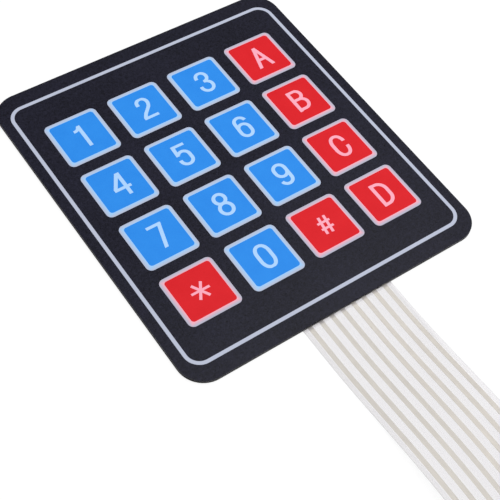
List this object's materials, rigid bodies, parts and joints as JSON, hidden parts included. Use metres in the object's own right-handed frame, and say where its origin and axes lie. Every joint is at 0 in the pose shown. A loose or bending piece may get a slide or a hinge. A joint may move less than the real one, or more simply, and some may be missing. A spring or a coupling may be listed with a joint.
{
  "type": "membrane keypad",
  "caption": "Thin flat membrane keypad with a grid of printed square keys, an adhesive back, and a flat film tail ending in a pin header socket.",
  "frame": {"origin": "centre of the pad's rear face, on the peel-off paper", "axes": "+Z out of the keypad's front, +Y from the tail towards the top row of keys, +X to the right seen from the front"},
  "size_m": [0.0692, 0.1639, 0.0026],
  "materials": {
    "liner_paper": "matte coated peel-off paper",
    "adhesive": "translucent pressure sensitive adhesive",
    "circuit_film": "translucent white polyester film, satin",
    "spacer_film": "translucent adhesive coated film",
    "silver_print": "matte screen printed silver",
    "overlay_film": "fine textured printed film, satin black",
    "blue_ink": "satin screen print",
    "red_ink": "satin screen print",
    "pale_ink": "satin screen print",
    "contact_metal": "plated spring bronze",
    "housing_plastic": "moulded black nylon"
  },
  "bodies": {
    "root": {"release_liner": "liner_paper", "rear_adhesive": "adhesive", "lower_circuit_film": "circuit_film", "row_conductor_1": "silver_print", "row_conductor_2": "silver_print", "row_conductor_3": "silver_print", "row_conductor_4": "silver_print", "circuit_spacer": "spacer_film", "column_conductor_1": "silver_print", "column_conductor_2": "silver_print", "column_conductor_3": "silver_print", "column_conductor_4": "silver_print", "upper_circuit_film": "circuit_film", "overlay_adhesive": "adhesive", "graphic_overlay": "overlay_film", "blue_key_fields": "blue_ink", "red_key_fields": "red_ink", "key_outlines": "pale_ink", "border_line": "pale_ink", "crimp_contact_1": "contact_metal", "crimp_contact_2": "contact_metal", "crimp_contact_3": "contact_metal", "crimp_contact_4": "contact_metal", "crimp_contact_5": "contact_metal", "crimp_contact_6": "contact_metal", "crimp_contact_7": "contact_metal", "crimp_contact_8": "contact_metal", "socket_housing": "housing_plastic"}
  },
  "joints": []
}
